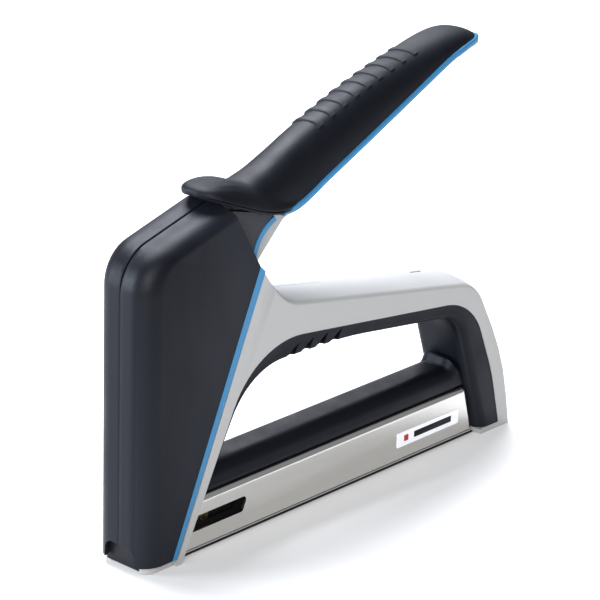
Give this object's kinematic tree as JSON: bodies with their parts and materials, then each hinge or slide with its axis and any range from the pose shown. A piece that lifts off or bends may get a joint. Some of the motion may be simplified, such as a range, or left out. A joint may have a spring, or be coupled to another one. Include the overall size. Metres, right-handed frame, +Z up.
{
  "type": "manual staple gun",
  "caption": "Hand-powered staple gun with a squeeze lever, loop handle, spring-driven striker and a pull-out staple track.",
  "frame": {"origin": "under the middle of the tool's length, on its centre plane, level with its feet", "axes": "+X from the nose to the rear leg, +Y to the tool's right-hand side, +Z up"},
  "size_m": [0.2099, 0.0272, 0.1719],
  "materials": {
    "cast_alloy": "satin die-cast, light grey",
    "black_plastic": "fine textured moulded plastic",
    "blue_plastic": "satin moulded plastic",
    "black_rubber": "soft overmould",
    "dark_grey_plastic": "coarse textured plastic",
    "stainless": "polished stainless sheet",
    "steel": "plain steel",
    "spring_steel": "spring wire",
    "bronze": "sintered bronze",
    "brass_wire": "lacquered staple wire",
    "label_white": "blank printed label film"
  },
  "bodies": {
    "body": {"frame_left": "cast_alloy", "frame_right": "cast_alloy", "nose_cover_left": "black_plastic", "nose_cover_right": "black_plastic", "accent_strip_left": "blue_plastic", "accent_strip_right": "blue_plastic", "hand_loop_liner": "black_rubber", "magazine_cover": "stainless", "magazine_bar": "black_plastic", "label_plate": "label_white", "staple_channel": "steel", "guide_plate": "steel", "bumper_seat": "steel", "bumper": "black_rubber", "spring_seat": "steel", "main_spring": "spring_steel", "pivot_pin": "steel", "lever_stop_pin": "steel", "frame_screws": "steel", "staple_strip": "brass_wire", "return_spring_left": "spring_steel", "return_spring_right": "spring_steel"},
    "lever": {"lever_core": "cast_alloy", "lift_arm": "steel", "lever_bush": "bronze", "lever_neck_left": "dark_grey_plastic", "lever_neck_right": "dark_grey_plastic", "lever_rivets": "steel", "neck_trim_left": "blue_plastic", "neck_trim_right": "blue_plastic", "lever_trim": "blue_plastic", "lever_grip": "black_rubber"},
    "striker": {"striker_blade": "steel", "plunger": "steel", "plunger_rivets": "steel"},
    "track": {"track_rail": "steel", "pusher_rod": "steel", "track_end_cap": "black_plastic", "pusher_spring": "spring_steel", "release_spring": "spring_steel"},
    "pusher": {"pusher": "black_plastic"},
    "release": {"release_button": "black_plastic"}
  },
  "joints": [
    {"name": "lever_hinge", "type": "hinge", "parent": "body", "child": "lever", "pos_m": [-0.077, 0, 0.1063], "axis": [0, 1, 0], "range_deg": [0, 30], "stiffness_Nm_per_rad": 0.8, "springref_deg": -51.57},
    {"name": "striker_slide", "type": "slide", "parent": "body", "child": "striker", "axis": [0, 0, 1], "range_m": [0, 0.01175], "stiffness_N_per_m": 1500, "springref_m": -0.01, "deforming": ["main_spring"]},
    {"name": "track_slide", "type": "slide", "parent": "body", "child": "track", "axis": [1, 0, 0], "range_m": [0, 0.115]},
    {"name": "pusher_slide", "type": "slide", "parent": "track", "child": "pusher", "axis": [1, 0, 0], "range_m": [0, 0.072], "stiffness_N_per_m": 40, "springref_m": -0.06, "deforming": ["pusher_spring"]},
    {"name": "release_press", "type": "slide", "parent": "track", "child": "release", "axis": [-1, 0, 0], "range_m": [0, 0.002], "stiffness_N_per_m": 400, "springref_m": -0.002, "deforming": ["release_spring"]}
  ],
  "couplings": [
    {"joint": "striker_slide", "follows": "lever_hinge", "m_per_rad": 0.022442}
  ]
}
